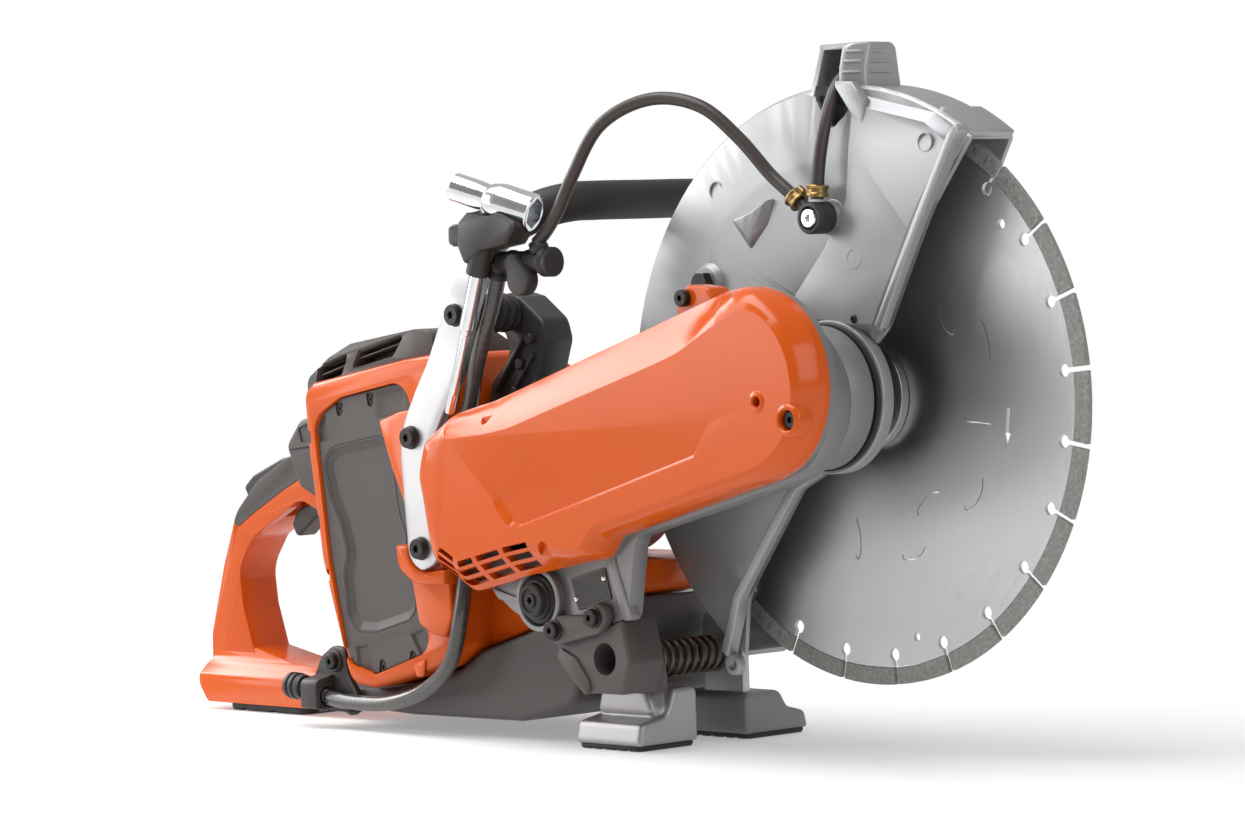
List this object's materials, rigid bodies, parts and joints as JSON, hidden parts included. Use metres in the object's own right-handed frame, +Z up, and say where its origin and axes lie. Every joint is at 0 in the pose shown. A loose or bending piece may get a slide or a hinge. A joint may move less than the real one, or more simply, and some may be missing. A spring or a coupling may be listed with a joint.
{
  "type": "cut-off saw",
  "caption": "Battery concrete cut-off saw: guarded diamond blade on a belt-drive arm, front tube handle, rear trigger handle, water hose and feet.",
  "frame": {"origin": "centre of the footprint, on the ground that the feet stand on", "axes": "+X forward from the rear handle to the blade, +Y to the operator's left, +Z up"},
  "size_m": [0.8097, 0.222, 0.428],
  "materials": {
    "orange_plastic": "injection-moulded orange covers, satin-gloss",
    "dark_plastic": "warm dark grey fine-textured plastic",
    "black_plastic": "black moulded plastic",
    "rubber": "matt black rubber",
    "cast_metal": "satin silver-grey cast light alloy",
    "satin_aluminium": "light satin aluminium",
    "brushed_steel": "brushed steel disc and turned steel pieces",
    "dark_steel": "blackened steel screws and brackets",
    "chrome": "bright plated steel",
    "brass": "brass hose clamps",
    "blue_plastic": "blue knob",
    "copper": "copper motor winding"
  },
  "bodies": {
    "saw": {"spindle_bearing_outer": "brushed_steel", "spindle_bearing_inner": "brushed_steel", "drive_belt": "rubber", "arm_casting": "cast_metal", "nose_seal": "rubber", "belt_cover": "orange_plastic", "motor_casing": "cast_metal", "motor_stator": "copper", "lower_damper_plug": "rubber", "rating_plate": "black_plastic", "foot_bracket": "dark_steel", "foot_spring": "dark_steel", "foot_right": "satin_aluminium", "foot_left": "satin_aluminium", "foot_sole_right": "rubber", "foot_sole_left": "rubber", "supply_hose": "rubber", "water_valve": "black_plastic", "feed_hose": "rubber", "hose_coupling": "black_plastic", "coupling_bracket": "black_plastic", "front_handle": "satin_aluminium", "front_grip_sleeve": "rubber", "leg_screw_upper": "dark_steel", "leg_screw_middle": "dark_steel", "leg_screw_lower": "dark_steel", "wrench_holder": "black_plastic", "upper_damper": "rubber", "damper_bracket": "black_plastic", "body_frame": "orange_plastic", "bay_panel": "dark_plastic", "vent_housing": "dark_plastic", "belly_tub": "dark_plastic", "rear_cover": "dark_plastic", "control_unit": "cast_metal", "rear_handle": "orange_plastic", "rear_grip": "dark_plastic", "rear_foot": "rubber"},
    "blade_set": {"blade": "brushed_steel", "flange_inner": "brushed_steel", "flange_outer": "brushed_steel", "spindle_shaft": "brushed_steel", "blade_bolt": "dark_steel", "driven_pulley": "cast_metal"},
    "motor_set": {"motor_rotor": "brushed_steel", "drive_pulley": "cast_metal", "cooling_fan": "black_plastic"},
    "guard_set": {"guard": "cast_metal", "water_banjo": "black_plastic", "banjo_bolt": "chrome", "hose_clamp_supply": "brass", "hose_clamp_spray": "brass", "spray_hose": "rubber"},
    "trigger": {"throttle_trigger": "black_plastic"},
    "lockout": {"trigger_lockout": "black_plastic"},
    "battery": {"battery_pack": "black_plastic"},
    "latch": {"battery_latch": "orange_plastic"},
    "wrench": {"combination_wrench": "chrome"},
    "knob": {"valve_knob": "blue_plastic"},
    "button": {"power_button": "black_plastic"}
  },
  "joints": [
    {"name": "blade_spin", "type": "hinge", "parent": "saw", "child": "blade_set", "pos_m": [0.23, 0.00595, 0.217], "axis": [0, 1, 0], "continuous": true},
    {"name": "motor_spin", "type": "hinge", "parent": "saw", "child": "motor_set", "pos_m": [-0.002, 0.00595, 0.162], "axis": [0, 1, 0], "continuous": true},
    {"name": "guard_swing", "type": "hinge", "parent": "saw", "child": "guard_set", "pos_m": [0.23, 0.00595, 0.217], "axis": [0, 1, 0], "range_deg": [-15, 40], "deforming": ["supply_hose"]},
    {"name": "trigger_pull", "type": "hinge", "parent": "saw", "child": "trigger", "pos_m": [-0.281, 0.00595, 0.149], "axis": [0, 1, 0], "range_deg": [0, 10], "stiffness_Nm_per_rad": 0.6, "springref_deg": -8.59},
    {"name": "lockout_press", "type": "hinge", "parent": "saw", "child": "lockout", "pos_m": [-0.316, 0.00595, 0.173], "axis": [0, -1, 0], "range_deg": [0, 5], "stiffness_Nm_per_rad": 0.8, "springref_deg": -8.59},
    {"name": "battery_slide", "type": "slide", "parent": "saw", "child": "battery", "axis": [0, 1, 0], "range_m": [0, 0.145]},
    {"name": "latch_press", "type": "slide", "parent": "saw", "child": "latch", "axis": [0, -1, 0], "range_m": [0, 0.004], "stiffness_N_per_m": 700, "springref_m": -0.003},
    {"name": "wrench_lift", "type": "slide", "parent": "saw", "child": "wrench", "axis": [0.3388, 0, 0.9409], "range_m": [0, 0.12]},
    {"name": "knob_turn", "type": "hinge", "parent": "saw", "child": "knob", "pos_m": [-0.051, -0.06605, 0.322], "axis": [1, 0, 0], "range_deg": [0, 90]},
    {"name": "button_press", "type": "slide", "parent": "saw", "child": "button", "axis": [0, 0, -1], "range_m": [0, 0.002], "stiffness_N_per_m": 600, "springref_m": -0.002}
  ],
  "couplings": [
    {"joint": "motor_spin", "follows": "blade_spin", "ratio": 2}
  ]
}
